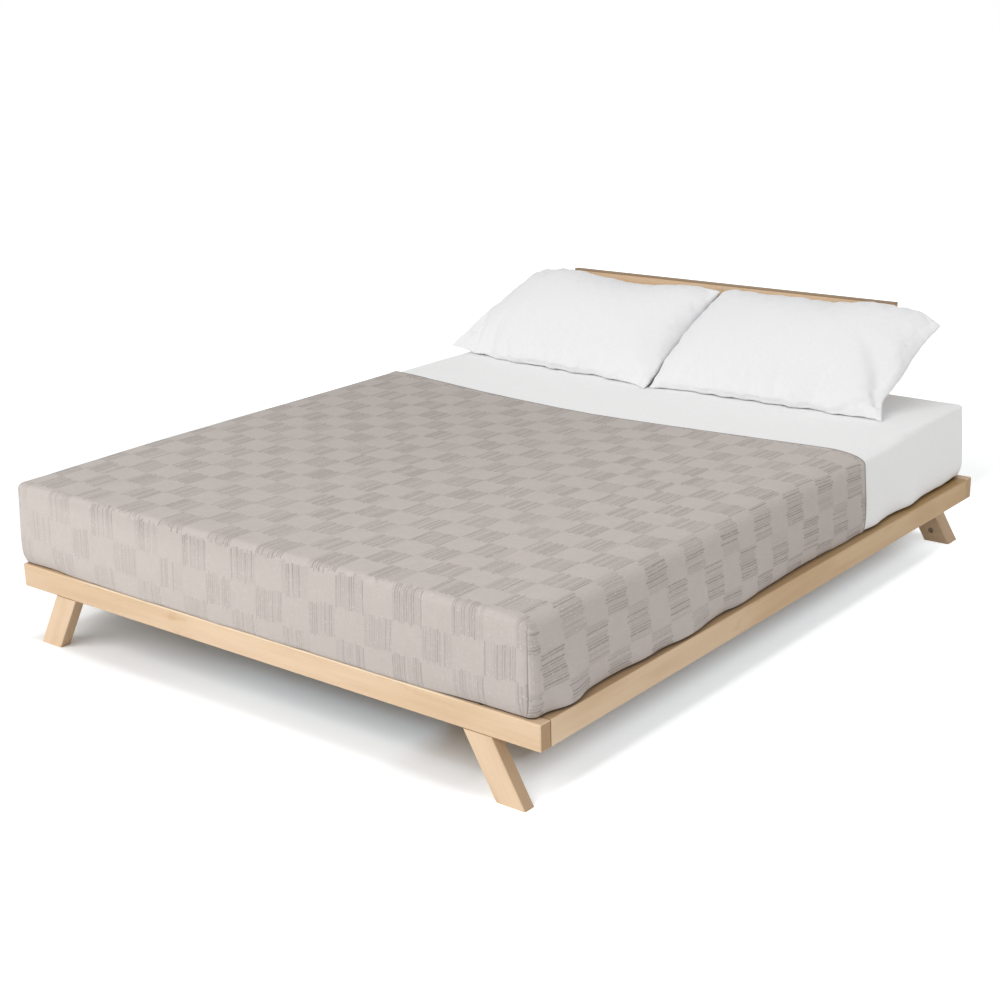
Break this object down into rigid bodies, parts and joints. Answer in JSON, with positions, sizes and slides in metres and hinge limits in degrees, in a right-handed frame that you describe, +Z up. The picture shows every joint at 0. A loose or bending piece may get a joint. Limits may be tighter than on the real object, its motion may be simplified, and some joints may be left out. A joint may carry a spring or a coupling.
{
  "type": "double bed",
  "caption": "Low platform bed in pale wood with splayed legs and a plain headboard on leaning posts, with slatted base, mattress, coverlet and pillows.",
  "frame": {"origin": "on the floor under the centre of the whole bed's box", "axes": "+Y from the foot to the headboard, +X to the right as seen from the foot, +Z up"},
  "size_m": [1.64, 2.036, 0.675],
  "materials": {
    "maple": "satin",
    "deck_wood": "matte",
    "dowel_wood": "matte",
    "steel": "satin",
    "hanger_steel": "matte",
    "pad_plastic": "matte",
    "ticking": "matte",
    "sheet_cotton": "matte",
    "coverlet_weave": "matte",
    "pillow_cotton": "matte"
  },
  "bodies": {
    "frame": {"foot_rail": "maple", "head_rail": "maple", "headboard": "maple", "side_rail_left": "maple", "side_rail_right": "maple", "leg_foot_left": "maple", "leg_foot_right": "maple", "leg_head_left": "maple", "leg_head_right": "maple", "headboard_post_left": "maple", "headboard_post_right": "maple", "slat_01": "deck_wood", "slat_02": "deck_wood", "slat_03": "deck_wood", "slat_04": "deck_wood", "slat_05": "deck_wood", "slat_06": "deck_wood", "slat_07": "deck_wood", "slat_08": "deck_wood", "slat_09": "deck_wood", "slat_10": "deck_wood", "slat_11": "deck_wood", "slat_12": "deck_wood", "slat_13": "deck_wood", "slat_14": "deck_wood", "slat_ledger_left": "deck_wood", "slat_ledger_right": "deck_wood", "centre_beam": "deck_wood", "centre_leg": "deck_wood", "corner_block_foot_left": "deck_wood", "corner_block_foot_right": "deck_wood", "corner_block_head_left": "deck_wood", "corner_block_head_right": "deck_wood", "leg_dowels": "dowel_wood", "corner_dowels": "dowel_wood", "leg_bolts": "steel", "leg_nuts": "steel", "post_bolts": "steel", "post_sleeves": "steel", "headboard_screws": "steel", "corner_block_screws": "steel", "ledger_screws": "steel", "slat_screws": "steel", "hanger_screws": "steel", "centre_leg_bolt": "steel", "leveller_insert": "steel", "beam_hanger_foot": "hanger_steel", "beam_hanger_head": "hanger_steel"},
    "leveller": {"leveller_stud": "steel", "leveller_pad": "pad_plastic"},
    "mattress": {"mattress": "ticking", "fitted_sheet": "sheet_cotton", "coverlet": "coverlet_weave"},
    "pillow_left": {"pillow_left": "pillow_cotton"},
    "pillow_right": {"pillow_right": "pillow_cotton"}
  },
  "joints": [
    {"name": "leveller_adjust", "type": "slide", "parent": "frame", "child": "leveller", "axis": [0, 0, 1], "range_m": [-0.008, 0.01]},
    {"name": "mattress_lift", "type": "slide", "parent": "frame", "child": "mattress", "axis": [0, 0, 1], "range_m": [0, 0.45]},
    {"name": "pillow_left_lift", "type": "slide", "parent": "mattress", "child": "pillow_left", "axis": [0, 0, 1], "range_m": [0, 0.4]},
    {"name": "pillow_right_lift", "type": "slide", "parent": "mattress", "child": "pillow_right", "axis": [0, 0, 1], "range_m": [0, 0.4]}
  ]
}
